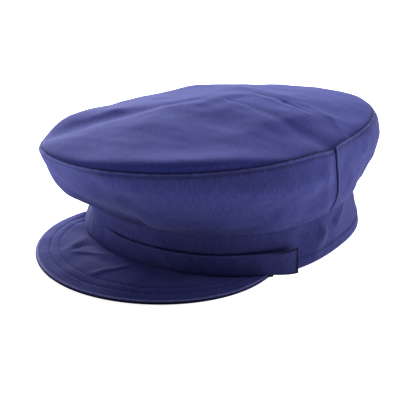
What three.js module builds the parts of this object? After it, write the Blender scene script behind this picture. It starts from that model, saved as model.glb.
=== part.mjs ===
// Engineer cap: a soft cotton work cap with an oval pillow crown, a plain head band,
// a cloth strap across the front and a short stitched peak.
// Millimetres, +Z up, peak towards -Y. The cap stands on the foot of its band and on its peak.
// Angles are in degrees, from the front of the cap round through +X, its right side seen from the front.

import * as THREE from 'three';

// Cloth thickness, and the clear space that sewn pieces keep
const CROWN_CLOTH = 1.8;
const BAND_CLOTH = 2.2;
const STRAP_CLOTH = 1.6;
const PEAK_CLOTH = 2.4;
const SEAM_GAP = 0.3;

// Middle of the head opening, placed so that the origin is under the middle of the whole cap
const HEAD_CENTRE = { right: -3.2, back: 17.8 };

// Closed plan curves. mean, oval, egg and square make the radius at each angle,
// right and back move the curve, and pitch and roll tip it (a positive roll lifts the right side).
const CURVES = {
  foot: {
    height: 0, mean: 96.5, oval: 4.4, egg: -2.4, square: -1.2,
    right: 0, back: 0, pitch: 0, roll: 0,
  },
  crownSeam: {
    height: 31, mean: 95.2, oval: 7, egg: -2.4, square: -0.6,
    right: 0, back: -1, pitch: 0, roll: 0,
  },
  rim: {
    height: 76.5, mean: 111.7, oval: 17.2, egg: -3.6, square: 2,
    right: 2.6, back: -17.3, pitch: -1.3, roll: 3,
  },
};

// Soft corners and flats of those curves: depth moves the curve out or in, and lift up or down
const CURVE_DENTS = [
  { curve: 'rim', angle: -68, span: 28, depth: -10, lift: 0 },
  { curve: 'rim', angle: -160, span: 25, depth: -6, lift: 0 },
  { curve: 'rim', angle: 45, span: 30, depth: 2, lift: 0 },
  { curve: 'rim', angle: 120, span: 18, depth: 1.5, lift: 0 },
  { curve: 'rim', angle: -33, span: 9, depth: 0, lift: -2.4 },
  { curve: 'rim', angle: 86, span: 6, depth: 0, lift: -1.8 },
  { curve: 'crownSeam', angle: 131, span: 20, depth: -2.8, lift: 0 },
  { curve: 'crownSeam', angle: -46, span: 18, depth: -4.2, lift: 0 },
  { curve: 'foot', angle: 92, span: 22, depth: -0.8, lift: 0 },
  { curve: 'foot', angle: 122, span: 16, depth: 0.8, lift: 0 },
];

// How far the side wall swells out: bulge is all over its height, drape swells its lower half
// and draws in its upper half, and sag lets its lower half hang down over the band
const WALL_FULLNESS = [
  { angle: -180, bulge: 6, drape: 0, sag: 0 },
  { angle: -130, bulge: 6, drape: 0, sag: 0 },
  { angle: -90, bulge: 7, drape: 0.6, sag: 3 },
  { angle: -45, bulge: 11.6, drape: 1.8, sag: 12.5 },
  { angle: 0, bulge: 8, drape: 1.2, sag: 4 },
  { angle: 25, bulge: 9.5, drape: 0, sag: 0 },
  { angle: 48, bulge: 9, drape: -0.4, sag: 0 },
  { angle: 80, bulge: 5.4, drape: 1.2, sag: 0 },
  { angle: 95, bulge: 5.4, drape: 1, sag: 0 },
  { angle: 131, bulge: 9.4, drape: -1, sag: 0 },
];
const WALL_ROUNDNESS = 0.6;

// Height of the rolled edge of the top, and how the dome inside it rises: the higher dome is, the later
const PILLOW_EDGE = [
  { angle: -180, height: 2.5, dome: 0.9 },
  { angle: -100, height: 3.4, dome: 0.9 },
  { angle: -58, height: 6.8, dome: 1 },
  { angle: -36, height: 2.8, dome: 1.1 },
  { angle: -10, height: 3.4, dome: 1.3 },
  { angle: 30, height: 7.5, dome: 2.3 },
  { angle: 50, height: 8, dome: 2.5 },
  { angle: 68, height: 5.4, dome: 2.2 },
  { angle: 86, height: 3.6, dome: 1.8 },
  { angle: 110, height: 3.8, dome: 1.4 },
  { angle: 150, height: 3, dome: 0.9 },
];
const PILLOW_SHARPNESS = 24;
const DOME_HEIGHT = 14.4;

// Folds: soft ridges, or dents where raised is negative, along a line from one place to another.
// Places on the top and the peak are plan positions from the middle of the head opening.
const TOP_FOLDS = [
  { from: [98, 2], to: [-60, 26], width: 36, raised: 3 },
  { from: [14, -110], to: [14, -30], width: 40, raised: 3.5 },
  { from: [78, -36], to: [30, -60], width: 15, raised: -1.6 },
  { from: [-54, -107], to: [-62, -86], width: 6, raised: 1.4 },
  { from: [-56, -92], to: [-43, -66], width: 6, raised: 1.6 },
  { from: [30, 22], to: [-60, 26], width: 7, raised: 0.8 },
  { from: [50, 20], to: [74, 17], width: 5, raised: 1 },
  { from: [74, 17], to: [97, 1], width: 4, raised: 1.5 },
];
const PEAK_FOLDS = [
  { from: [-30, -119], to: [-16, -106], width: 6, raised: 1.2 },
  { from: [2, -130], to: [12, -107], width: 6, raised: 1.2 },
  { from: [-36, -117], to: [-33, -101], width: 6, raised: -1.2 },
];
// Places on the side wall and the band are an angle and a rise above the piece's lower edge.
const WALL_FOLDS = [
  { from: [11, 22], to: [16, 6], width: 6, raised: 1.6 },
  { from: [20, 8], to: [66, 7], width: 5, raised: 1.4 },
  { from: [96, 30], to: [118, 12], width: 9, raised: -1.8 },
  { from: [-60, 30], to: [-38, 14], width: 8, raised: 1.5 },
  { from: [-14, 6], to: [10, 5], width: 7, raised: -10 },
  { from: [42, 30], to: [76, 26], width: 9, raised: 2 },
];
const BAND_FOLDS = [
  { from: [83, 31], to: [84, 18], width: 5, raised: 2 },
  { from: [84, 18], to: [79, 6], width: 5, raised: 1.4 },
  { from: [72, 26], to: [70, 14], width: 8, raised: -1.8 },
  { from: [110, 31], to: [96, 20], width: 4, raised: 1.6 },
  { from: [-88, 31], to: [-84, 6], width: 6, raised: 1 },
];

// Strap across the front
const STRAP_END_ANGLE = 66.5;
const STRAP_TOP = 17;
const STRAP_FOOT = 2.8;
const STRAP_END_FOOT = 0.3;
const STRAP_DROP = { from: 57, to: 64 };
const STRAP_STAND_OFF = 1.4;
const STRAP_END_STAND_OFF = 3.2;

// Peak
const PEAK_MIDDLE = 0.4;
const PEAK_END_ANGLE = 56.4;
const PEAK_REACH = 54.2;
const PEAK_ROUNDNESS = 1.17;
const PEAK_TIP = 1.8;
const PEAK_ARCH = 2.2;

// Side seams of the crown, and how finely the pieces are divided
const SIDE_SEAM = 89;
const TURN_STEPS = 84;
const WALL_LEVELS = [0, 0.08, 0.2, 0.35, 0.5, 0.65, 0.82, 1];
const BAND_LEVELS = [0, 0.3, 0.65, 1];
const TOP_RINGS = 8;
const STRAP_STEPS = 44;
const STRAP_LEVELS = [0, 0.5, 1];
const PEAK_STEPS = 46;
const PEAK_ROWS = [0, 0.08, 0.25, 0.45, 0.65, 0.85, 1];
const SLOPE_STEP = { turn: 0.36, level: 0.004 };
const LEAST_UPRIGHT = 0.3;

// Colours of the cloth
const CLOTH_COLOUR = 0x4b4b86;
const PEAK_COLOUR = 0x43437a;
const CLOTH_ROUGHNESS = 0.9;

const radians = THREE.MathUtils.degToRad;

function turnBetween(angle, other) {
  return THREE.MathUtils.euclideanModulo(angle - other + 180, 360) - 180;
}

// Value of one column of a table of angles, eased from row to row right round the cap
function aroundTable(rows, column, angle) {
  const turned = THREE.MathUtils.euclideanModulo(angle + 180, 360) - 180;
  let index = rows.length - 1;
  while (index > 0 && rows[index].angle > turned) index -= 1;
  const here = rows[index];
  const next = rows[(index + 1) % rows.length];
  const step = THREE.MathUtils.euclideanModulo(next.angle - here.angle, 360);
  const eased = THREE.MathUtils.smoothstep(turned - here.angle, 0, step);
  return THREE.MathUtils.lerp(here[column], next[column], eased);
}

function outwardAt(angle) {
  return new THREE.Vector3(Math.sin(radians(angle)), -Math.cos(radians(angle)), 0);
}

// Point of a plan curve, drawn in towards its middle by the share given
function curvePoint(name, angle, share = 1) {
  const curve = CURVES[name];
  const turn = radians(angle);
  let radius = curve.mean;
  radius += curve.oval * Math.cos(2 * turn);
  radius += curve.egg * Math.cos(3 * turn);
  radius += curve.square * Math.cos(4 * turn);
  let lift = 0;
  for (const dent of CURVE_DENTS) {
    if (dent.curve === name) {
      const near = Math.exp(-((turnBetween(angle, dent.angle) / dent.span) ** 2));
      radius += dent.depth * near;
      lift += dent.lift * near;
    }
  }
  const point = outwardAt(angle).multiplyScalar(radius * share);
  point.z = curve.height + lift * share;
  point.z += point.x * Math.tan(radians(curve.roll));
  point.z += point.y * Math.tan(radians(curve.pitch));
  point.x += curve.right;
  point.y += curve.back;
  return point;
}

// Sum of the folds at a place of a panel laid flat
function foldsAt(folds, across, along, scale = 1) {
  const place = new THREE.Vector3(across * scale, along, 0);
  const nearest = new THREE.Vector3();
  let raised = 0;
  for (const fold of folds) {
    const start = new THREE.Vector3(fold.from[0] * scale, fold.from[1], 0);
    const end = new THREE.Vector3(fold.to[0] * scale, fold.to[1], 0);
    new THREE.Line3(start, end).closestPointToPoint(place, true, nearest);
    raised += fold.raised * Math.exp(-((nearest.distanceTo(place) / fold.width) ** 2));
  }
  return raised;
}

// Outer face of the band, from its foot (level 0) to the crown seam (level 1)
function bandFace(angle, level) {
  const foot = curvePoint('foot', angle);
  const seam = curvePoint('crownSeam', angle);
  const arc = radians(CURVES.foot.mean);
  const folds = foldsAt(BAND_FOLDS, angle, level * CURVES.crownSeam.height, arc);
  const point = foot.lerp(seam, level);
  return point.addScaledVector(outwardAt(angle), folds * Math.sin(Math.PI * level));
}

// Outer face of the side wall, from the crown seam (level 0) to the rim (level 1)
function wallFace(angle, level) {
  const seam = curvePoint('crownSeam', angle);
  const rim = curvePoint('rim', angle);
  const rise = CURVES.rim.height - CURVES.crownSeam.height;
  const turned = turnBetween(angle, 0);
  const folds = foldsAt(WALL_FOLDS, turned, level * rise, radians(CURVES.rim.mean));
  let swell = aroundTable(WALL_FULLNESS, 'bulge', angle) * (4 * level * (1 - level)) ** WALL_ROUNDNESS;
  swell += aroundTable(WALL_FULLNESS, 'drape', angle) * Math.sin(2 * Math.PI * level);
  swell += folds * Math.sin(Math.PI * level);
  const point = seam.lerp(rim, level).addScaledVector(outwardAt(angle), swell);
  point.z -= aroundTable(WALL_FULLNESS, 'sag', angle) * Math.sin(Math.PI * level) * (1 - level) ** 2;
  return point;
}

// Upper face of the top, from the rim (level 0) to its middle (level 1)
function topFace(angle, level) {
  const share = Math.cos(level * Math.PI / 2);
  const point = curvePoint('rim', angle, share);
  const edge = aroundTable(PILLOW_EDGE, 'height', angle);
  const dome = aroundTable(PILLOW_EDGE, 'dome', angle);
  const inside = 1 - share ** 2;
  const folds = foldsAt(TOP_FOLDS, point.x, point.y);
  point.z += edge * Math.sqrt(1 - share ** PILLOW_SHARPNESS) * share ** 2;
  point.z += DOME_HEIGHT * inside ** dome + folds * inside;
  return point;
}

// Outward direction of a face at one of its places
function faceNormal(face, angle, level) {
  const low = Math.max(level - SLOPE_STEP.level, 0);
  const high = Math.min(level + SLOPE_STEP.level, 1);
  const across = face(angle + SLOPE_STEP.turn, level).sub(face(angle - SLOPE_STEP.turn, level));
  const along = face(angle, high).sub(face(angle, low));
  return across.cross(along).normalize();
}

// Inner face of an upright wall, moved in level so that its edges stay flat
function insideWall(face, angle, level, thickness) {
  const normal = faceNormal(face, angle, level);
  const upright = Math.max(Math.hypot(normal.x, normal.y), LEAST_UPRIGHT);
  const inward = new THREE.Vector3(-normal.x, -normal.y, 0).normalize();
  return face(angle, level).addScaledVector(inward, thickness / upright);
}

// Closed solid between an outer and an inner sheet of points. Sheets that wrap join up with themselves,
// and sheets with a crest close on one outer and one inner point.
function shellGeometry(outer, inner, { wraps = false, crest = null } = {}) {
  const columns = outer.length;
  const rows = outer[0].length;
  const last = rows - 1;
  const points = [...outer.flat(), ...inner.flat(), ...(crest ?? [])];
  const outside = (column, row) => (column % columns) * rows + row;
  const inside = (column, row) => columns * rows + outside(column, row);
  const outerCrest = 2 * columns * rows;
  const innerCrest = outerCrest + 1;
  const corners = [];
  const quad = (a, b, c, d) => corners.push(a, b, c, a, c, d);
  const spans = wraps ? columns : columns - 1;
  for (let i = 0; i < spans; i += 1) {
    const next = i + 1;
    for (let j = 0; j < last; j += 1) {
      quad(outside(i, j), outside(next, j), outside(next, j + 1), outside(i, j + 1));
      quad(inside(i, j), inside(i, j + 1), inside(next, j + 1), inside(next, j));
    }
    quad(inside(i, 0), inside(next, 0), outside(next, 0), outside(i, 0));
    if (crest) {
      corners.push(outside(i, last), outside(next, last), outerCrest);
      corners.push(inside(next, last), inside(i, last), innerCrest);
    } else {
      quad(outside(i, last), outside(next, last), inside(next, last), inside(i, last));
    }
  }
  if (!wraps) {
    const end = columns - 1;
    for (let j = 0; j < last; j += 1) {
      quad(outside(0, j), outside(0, j + 1), inside(0, j + 1), inside(0, j));
      quad(inside(end, j), inside(end, j + 1), outside(end, j + 1), outside(end, j));
    }
  }
  const geometry = new THREE.BufferGeometry();
  const positions = points.flatMap((point) => point.toArray());
  geometry.setAttribute('position', new THREE.Float32BufferAttribute(positions, 3));
  geometry.setIndex(corners);
  geometry.computeVertexNormals();
  return geometry;
}

function evenAngles(from, to, steps) {
  return Array.from({ length: steps + 1 }, (_, i) => THREE.MathUtils.lerp(from, to, i / steps));
}

// Upright wall over a list of angles and levels, with its lower and upper edges drawn back from the seams
function wallGeometry(face, angles, levels, thickness, { wraps = false, lowGap = 0, highGap = 0 } = {}) {
  const outer = [];
  const inner = [];
  for (const angle of angles) {
    const outerColumn = levels.map((level) => face(angle, level));
    const innerColumn = levels.map((level) => insideWall(face, angle, level, thickness));
    for (const column of [outerColumn, innerColumn]) {
      column[0].z += lowGap;
      column[column.length - 1].z -= highGap;
    }
    outer.push(outerColumn);
    inner.push(innerColumn);
  }
  return shellGeometry(outer, inner, { wraps });
}

function bandGeometry() {
  const angles = evenAngles(-180, 180, TURN_STEPS).slice(0, TURN_STEPS);
  return wallGeometry(bandFace, angles, BAND_LEVELS, BAND_CLOTH, { wraps: true, highGap: SEAM_GAP / 2 });
}

function sidePanelGeometry(from, to) {
  const edge = THREE.MathUtils.radToDeg(SEAM_GAP / 2 / CURVES.crownSeam.mean);
  const steps = Math.round(TURN_STEPS * (to - from) / 360);
  const angles = evenAngles(from + edge, to - edge, steps);
  const gaps = { lowGap: SEAM_GAP / 2, highGap: SEAM_GAP / 2 };
  return wallGeometry(wallFace, angles, WALL_LEVELS, CROWN_CLOTH, gaps);
}

function topGeometry() {
  const angles = evenAngles(-180, 180, TURN_STEPS).slice(0, TURN_STEPS);
  const levels = evenAngles(0, 1, TOP_RINGS).slice(0, TOP_RINGS);
  const outer = [];
  const inner = [];
  for (const angle of angles) {
    const outerColumn = levels.map((level) => topFace(angle, level));
    const innerColumn = levels.map((level, row) => {
      const inward = row === 0 ? outwardAt(angle) : faceNormal(topFace, angle, level);
      return outerColumn[row].clone().addScaledVector(inward, -CROWN_CLOTH);
    });
    outerColumn[0].z += SEAM_GAP / 2;
    innerColumn[0].z += SEAM_GAP / 2;
    outer.push(outerColumn);
    inner.push(innerColumn);
  }
  const outerCrest = topFace(0, 1);
  const innerCrest = outerCrest.clone().setZ(outerCrest.z - CROWN_CLOTH);
  return shellGeometry(outer, inner, { wraps: true, crest: [outerCrest, innerCrest] });
}

function strapGeometry() {
  const angles = evenAngles(-STRAP_END_ANGLE, STRAP_END_ANGLE, STRAP_STEPS);
  const outer = [];
  const inner = [];
  for (const angle of angles) {
    const drop = THREE.MathUtils.smoothstep(Math.abs(angle), STRAP_DROP.from, STRAP_DROP.to);
    const foot = THREE.MathUtils.lerp(STRAP_FOOT, STRAP_END_FOOT, drop);
    const held = Math.cos(radians(angle) * 90 / STRAP_END_ANGLE);
    const outerColumn = [];
    const innerColumn = [];
    for (const level of STRAP_LEVELS) {
      const bandLevel = THREE.MathUtils.lerp(foot, STRAP_TOP, level) / CURVES.crownSeam.height;
      const normal = faceNormal(bandFace, angle, bandLevel).setZ(0).normalize();
      const clear = SEAM_GAP + STRAP_STAND_OFF * held * level ** 2 + STRAP_END_STAND_OFF * drop;
      innerColumn.push(bandFace(angle, bandLevel).addScaledVector(normal, clear));
      outerColumn.push(bandFace(angle, bandLevel).addScaledVector(normal, clear + STRAP_CLOTH));
    }
    outer.push(outerColumn);
    inner.push(innerColumn);
  }
  return shellGeometry(outer, inner);
}

// Upper face of the peak at an angle, from its edge (0) to its root at the band (1)
function peakFace(angle, inset) {
  const along = (angle - PEAK_MIDDLE) / PEAK_END_ANGLE;
  const taper = 1 - along ** 2;
  const reach = Math.max(PEAK_REACH * taper ** PEAK_ROUNDNESS, PEAK_TIP);
  const normal = faceNormal(bandFace, angle, 0).setZ(0).normalize();
  const point = bandFace(angle, 0).addScaledVector(normal, SEAM_GAP + reach * (1 - inset));
  const middle = 4 * inset * (1 - inset);
  point.z = PEAK_CLOTH;
  point.z += (PEAK_ARCH * taper + foldsAt(PEAK_FOLDS, point.x, point.y)) * middle;
  return point;
}

function peakGeometry() {
  const angles = evenAngles(PEAK_MIDDLE - PEAK_END_ANGLE, PEAK_MIDDLE + PEAK_END_ANGLE, PEAK_STEPS);
  const upper = angles.map((angle) => PEAK_ROWS.map((inset) => peakFace(angle, inset)));
  const lower = upper.map((column) => column.map((point) => point.clone().setZ(point.z - PEAK_CLOTH)));
  return shellGeometry(upper, lower);
}

function addPiece(group, name, geometry, color) {
  const cloth = new THREE.MeshStandardMaterial({ color, roughness: CLOTH_ROUGHNESS, metalness: 0 });
  const piece = new THREE.Mesh(geometry, cloth);
  piece.name = name;
  group.add(piece);
}

const cap = new THREE.Group();
addPiece(cap, 'crown_top', topGeometry(), CLOTH_COLOUR);
addPiece(cap, 'crown_front', sidePanelGeometry(-SIDE_SEAM, SIDE_SEAM), CLOTH_COLOUR);
addPiece(cap, 'crown_back', sidePanelGeometry(SIDE_SEAM, 360 - SIDE_SEAM), CLOTH_COLOUR);
addPiece(cap, 'band', bandGeometry(), CLOTH_COLOUR);
addPiece(cap, 'strap', strapGeometry(), CLOTH_COLOUR);
addPiece(cap, 'peak', peakGeometry(), PEAK_COLOUR);
cap.position.set(HEAD_CENTRE.right, HEAD_CENTRE.back, 0);

export default cap;
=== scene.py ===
"""Looks of the engineer cap: sewn cotton panels with seams, folds and stitches, on a pale studio floor.

Sizes are in millimetres and degrees from the middle of the head opening, as in the part's own source.
Angles run from the front of the cap (-Y) round through +X. The meshes are made in metres.
"""

import math

import bpy
import numpy as np
from mathutils import Matrix, Vector


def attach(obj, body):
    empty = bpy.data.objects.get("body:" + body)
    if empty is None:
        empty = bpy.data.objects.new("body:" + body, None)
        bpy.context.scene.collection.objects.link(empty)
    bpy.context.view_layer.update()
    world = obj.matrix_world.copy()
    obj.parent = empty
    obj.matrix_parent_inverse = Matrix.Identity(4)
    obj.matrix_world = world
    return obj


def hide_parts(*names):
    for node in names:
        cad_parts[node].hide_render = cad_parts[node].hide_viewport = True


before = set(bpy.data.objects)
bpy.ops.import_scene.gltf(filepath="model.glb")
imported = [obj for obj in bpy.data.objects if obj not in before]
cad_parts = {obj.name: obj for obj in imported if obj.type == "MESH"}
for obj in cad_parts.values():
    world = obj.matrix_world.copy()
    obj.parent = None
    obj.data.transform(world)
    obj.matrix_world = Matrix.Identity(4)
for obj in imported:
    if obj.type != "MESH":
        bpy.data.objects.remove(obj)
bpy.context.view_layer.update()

MM = 0.001
HEAD_CENTRE = np.array([-3.2, 17.8, 0.0])

# Cloth thickness of the pieces
CROWN_CLOTH = 1.8
BAND_CLOTH = 2.2
STRAP_CLOTH = 1.6
PEAK_CLOTH = 2.4
SEAM_GAP = 0.3

# Closed plan curves of the cap: a mean radius, made oval, egg-shaped or square, then moved and tilted
CURVES = {
    "foot": dict(height=0, mean=96.5, oval=4.4, egg=-2.4, square=-1.2, right=0, back=0, pitch=0, roll=0),
    "seam": dict(height=31, mean=95.2, oval=7, egg=-2.4, square=-0.6, right=0, back=-1, pitch=0, roll=0),
    "rim": dict(
        height=76.5, mean=111.7, oval=17.2, egg=-3.6, square=2, right=2.6, back=-17.3, pitch=-1.3, roll=3
    ),
}
CURVE_DENTS = [
    dict(curve="rim", angle=-68, span=28, depth=-10, lift=0),
    dict(curve="rim", angle=-160, span=25, depth=-6, lift=0),
    dict(curve="rim", angle=45, span=30, depth=2, lift=0),
    dict(curve="rim", angle=120, span=18, depth=1.5, lift=0),
    dict(curve="rim", angle=-33, span=9, depth=0, lift=-2.4),
    dict(curve="rim", angle=86, span=6, depth=0, lift=-1.8),
    dict(curve="seam", angle=131, span=20, depth=-2.8, lift=0),
    dict(curve="seam", angle=-46, span=18, depth=-4.2, lift=0),
    dict(curve="foot", angle=92, span=22, depth=-0.8, lift=0),
    dict(curve="foot", angle=122, span=16, depth=0.8, lift=0),
]

# Fullness of the side wall and of the top's rolled edge
WALL_FULLNESS = [
    dict(angle=-180, bulge=6, drape=0, sag=0),
    dict(angle=-130, bulge=6, drape=0, sag=0),
    dict(angle=-90, bulge=7, drape=0.6, sag=3),
    dict(angle=-45, bulge=11.6, drape=1.8, sag=12.5),
    dict(angle=0, bulge=8, drape=1.2, sag=4),
    dict(angle=25, bulge=9.5, drape=0, sag=0),
    dict(angle=48, bulge=9, drape=-0.4, sag=0),
    dict(angle=80, bulge=5.4, drape=1.2, sag=0),
    dict(angle=95, bulge=5.4, drape=1, sag=0),
    dict(angle=131, bulge=9.4, drape=-1, sag=0),
]
WALL_ROUNDNESS = 0.6
PILLOW_EDGE = [
    dict(angle=-180, height=2.5, dome=0.9),
    dict(angle=-100, height=2.4, dome=0.9),
    dict(angle=-80, height=3.6, dome=0.95),
    dict(angle=-60, height=6.4, dome=1),
    dict(angle=-48, height=7, dome=1),
    dict(angle=-26, height=3, dome=1.15),
    dict(angle=-10, height=3.4, dome=1.3),
    dict(angle=30, height=7.5, dome=2.2),
    dict(angle=42, height=7.4, dome=2.1),
    dict(angle=68, height=1.4, dome=1.1),
    dict(angle=82, height=0.8, dome=1),
    dict(angle=94, height=1.4, dome=1.05),
    dict(angle=118, height=3.4, dome=1.3),
    dict(angle=150, height=3, dome=0.9),
]
PILLOW_SHARPNESS = 24
DOME_HEIGHT = 14.4

# Folds: ridges, or dents where raised is negative, along a line. Plan places on the top and the peak.
TOP_FOLDS = [
    dict(start=(98, 2), end=(-60, 26), width=36, raised=3),
    dict(start=(14, -110), end=(14, -30), width=40, raised=3.5),
    dict(start=(-56, 24), end=(-42, 64), width=14, raised=3),
    dict(start=(78, -36), end=(30, -60), width=15, raised=-1.6),
    dict(start=(-54, -107), end=(-62, -86), width=6, raised=1.4),
    dict(start=(-56, -92), end=(-43, -66), width=6, raised=1.6),
    dict(start=(30, 22), end=(-60, 26), width=7, raised=0.8),
    dict(start=(50, 20), end=(74, 17), width=5, raised=1),
    dict(start=(74, 17), end=(97, 1), width=4, raised=3),
    dict(start=(14, 12), end=(40, 11), width=2, raised=-0.6),
    dict(start=(40, 11), end=(66, 5.5), width=2, raised=-0.9),
    dict(start=(20, 5), end=(65, 4), width=2.4, raised=0.4),
    dict(start=(66, 2), end=(56, -62), width=16, raised=3),
    dict(start=(65, 5), end=(64, -17), width=3.5, raised=0.6),
    dict(start=(64, -17), end=(62, -34), width=5, raised=0.4),
    dict(start=(78, -8), end=(74, -28), width=9, raised=-0.9),
    dict(start=(19, 3), end=(12, -38), width=7, raised=-0.6),
    dict(start=(14, 6), end=(6, -36), width=6, raised=0.5),
    dict(start=(6, -36), end=(-9, -52), width=6, raised=0.35),
]
# Lines along the crests of the top's folds, where the cloth is made paler.
TOP_CREASES = [
    dict(start=(24, 5), end=(65, 4), width=1.3, raised=0.9),
    dict(start=(74, 17), end=(96, 2), width=1.3, raised=0.9),
]
PEAK_FOLDS = [
    dict(start=(-37, -117), end=(-43, -97), width=3.4, raised=0.9),
    dict(start=(-35, -114), end=(-33, -101), width=3.4, raised=-0.6),
    dict(start=(-31, -118), end=(-15, -106), width=2.2, raised=0.6),
    dict(start=(-21, -116), end=(-8, -114), width=5, raised=-0.5),
    dict(start=(3, -131), end=(10, -107), width=2.4, raised=0.6),
    dict(start=(28, -124), end=(28, -104), width=6, raised=0.4),
]
# Places on the side wall and the band are an angle and a rise above the lower edge.
WALL_FOLDS = [
    dict(start=(11, 22), end=(16, 6), width=6, raised=1.6),
    dict(start=(20, 8), end=(66, 7), width=5, raised=1.4),
    dict(start=(96, 30), end=(118, 12), width=9, raised=-1.8),
    dict(start=(-60, 30), end=(-38, 14), width=8, raised=1.5),
    dict(start=(64, 16), end=(84, 12), width=5, raised=-0.8),
    dict(start=(-14, 6), end=(10, 5), width=7, raised=-10),
    dict(start=(-12, 14), end=(11, 16), width=7, raised=-4),
    dict(start=(12, 39), end=(36, 36), width=9, raised=5),
    dict(start=(44, 36), end=(80, 32), width=9, raised=6),
]
BAND_FOLDS = [
    dict(start=(-9, 24), end=(2, 20), width=3.5, raised=1.4),
    dict(start=(6, 22), end=(16, 20.5), width=3, raised=0.9),
    dict(start=(83, 31), end=(84, 18), width=5, raised=2),
    dict(start=(84, 18), end=(79, 6), width=5, raised=1.4),
    dict(start=(72, 26), end=(70, 14), width=8, raised=-1.8),
    dict(start=(110, 31), end=(96, 20), width=3, raised=1.6),
    dict(start=(103, 31), end=(93, 23), width=3.5, raised=-0.7),
    dict(start=(-88, 31), end=(-84, 6), width=6, raised=1),
]

# Strap across the front, and peak
STRAP_END_ANGLE = 66.5
STRAP_TOP = 17
STRAP_FOOT = 2.8
STRAP_END_FOOT = 0.3
STRAP_DROP = (51, 67)
STRAP_STAND_OFF = 2.2
STRAP_END_STAND_OFF = 3.2
STRAP_LEAVES_BAND = (44, 66)
STRAP_GAPE = (-12, 30)
STRAP_MERGE = (-20, -4)
STRAP_MERGE_WIDTH = 13
STRAP_SINK = 1.25
STRAP_THINNING = 0.65
PEAK_MIDDLE = 0.4
PEAK_END_ANGLE = 56.4
PEAK_REACH = 54.2
PEAK_ROUNDNESS = 1.17
PEAK_TIP = 1.8
PEAK_ARCH = 2.2

# Sewn details
SIDE_SEAM = 89
RIM_SEAM = dict(tuck=0.1, tuck_width=0.4, lip=0.35, lip_place=0.9, lip_width=0.7)
SIDE_SEAMS = dict(tuck=1.8, tuck_width=1.0, lip=0.5, lip_place=1.9, lip_width=1.0)
FOOT_SEAM = dict(tuck=1.0, tuck_width=0.7, lip=1.2, lip_place=2.0, lip_width=1.0)
# The crown's lower edge stands over the band at the side and back, and runs smoothly into it in front.
CROWN_FOOT = [
    dict(angle=-180, lip=1, fill=0),
    dict(angle=-110, lip=0.8, fill=0),
    dict(angle=-70, lip=0.15, fill=1.5),
    dict(angle=0, lip=0.1, fill=2.6),
    dict(angle=25, lip=0.2, fill=2),
    dict(angle=55, lip=0.8, fill=0.4),
    dict(angle=75, lip=1, fill=0),
]
FILL_SPAN = 6
SEAM_ALLOWANCE = dict(strength=2.5, place=0, width=1.2)
NEEDLE_PULL = dict(middle=0.85, spread=0.25, least=0.4, most=1.4, length=2.8)
PUCKER = dict(height=0.08, length=4, reach=3.5)
BAND_TUCKED_UP = 1.06
HEM_HEIGHT = 7.2
HEM_STEP = 0.5
HEM_SLOPE = 0.6
HEM_GROOVE = dict(strength=0.25, place=HEM_HEIGHT, width=0.7)
PEAK_ROWS_FROM_EDGE = (10, 17)
PEAK_ROW_GROOVE = dict(strength=0.4, place=0, width=0.9)
STRAP_SEAM_INSET = 1.8
STRAP_SEAM_CLEAR_ROWS = 3
STITCH = dict(pitch=2.9, length=2.2, radius=0.2, first=0.5, arch=0.5)
THINNEST_EDGE = 0.004

# Waviness of free cloth
NOISE_LENGTHS = (0.7, 1.6)
DRAPE_NOISE = dict(height=0.5, length=38)
CRUMPLE_NOISE = dict(height=0.15, length=15)
SEAM_HOLD = 6
TOP_SOFTNESS = 0.4
BAND_SOFTNESS = 0.6
BAND_FREE_HEIGHT = 25
BAND_STILL_EDGE = 2
STRAP_NOISE = dict(height=0.12, length=16, hold=2)
PEAK_NOISE = dict(height=0.15, length=20, hold=4)
SEEDS = dict(front=11, back=21, top=31, band=41, strap=51, peak=60)

# Lines of worn, pale cloth, and lines of painted shade along seams and edges, each at its place from an
# edge
RIM_WEAR = dict(strength=1.7, place=0.8, width=0.7)
RIM_SHADE = dict(strength=0.65, place=0, width=2.2)
UNDER_RIM_SHADE = dict(strength=0.4, place=2.9, width=1.2)
FOOT_WEAR = dict(strength=2.6, place=1.6, width=0.9)
FOOT_WEAR_LIP = (0.2, 0.9)
FRONT_FOOT_SHADE = dict(strength=0.24, place=3.5, width=7)
FRONT_SIDE_WEAR = dict(strength=0.2, place=2.6, width=0.9)
BACK_SIDE_WEAR = dict(strength=2.0, place=2.6, width=0.9)
SIDE_SEAM_SHADE = dict(strength=1.5, place=0, width=1.5)
BAND_EDGE_WEAR = dict(strength=1, place=0.8, width=1.2)
BAND_TOP_SHADE = dict(strength=0.35, place=0, width=2.0)
STRAP_EDGE_LINE = dict(strength=1, place=0.5, width=0.8)
STRAP_EDGE_WEAR = 0.6
STRAP_EDGE_SHADE = -0.8
STRAP_EDGE_DARKENS = (50, 60)
STRAP_END_SHADE = dict(strength=1.3, place=0, width=2.0)
STRAP_END_CLEAR = 2.5
STRAP_RIGHT_SIDE = (0, 20)
PEAK_EDGE_WEAR = dict(strength=3.2, place=1.3, width=0.7)
PEAK_EDGE_SHADE = dict(strength=1, place=0, width=0.5)
PEAK_UNDER_SHADE = dict(strength=1, place=0, width=1.6)

# Grid fineness
WALL_COLUMNS = 420
WALL_ROWS = 74
TOP_COLUMNS = 320
TOP_RINGS = 120
BAND_COLUMNS = 400
BAND_ROWS = 40
STRAP_COLUMNS = 240
STRAP_ROWS = 26
PEAK_COLUMNS = 240
PEAK_ROWS = 70
CLOSER_ENDS = 0.75
CLOSER_COLUMN_ENDS = 0.85


# Shapes of the cap


def unit(vectors):
    """The same directions, one long."""
    return vectors / np.linalg.norm(vectors, axis=-1, keepdims=True)


def bell(distance, width):
    """1 at no distance, falling to almost nothing over two widths."""
    return np.exp(-((distance / width) ** 2))


def line_beside(line, distance):
    """Strength of a line that runs along an edge, at a distance from that edge."""
    return line["strength"] * bell(distance - line["place"], line["width"])


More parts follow.
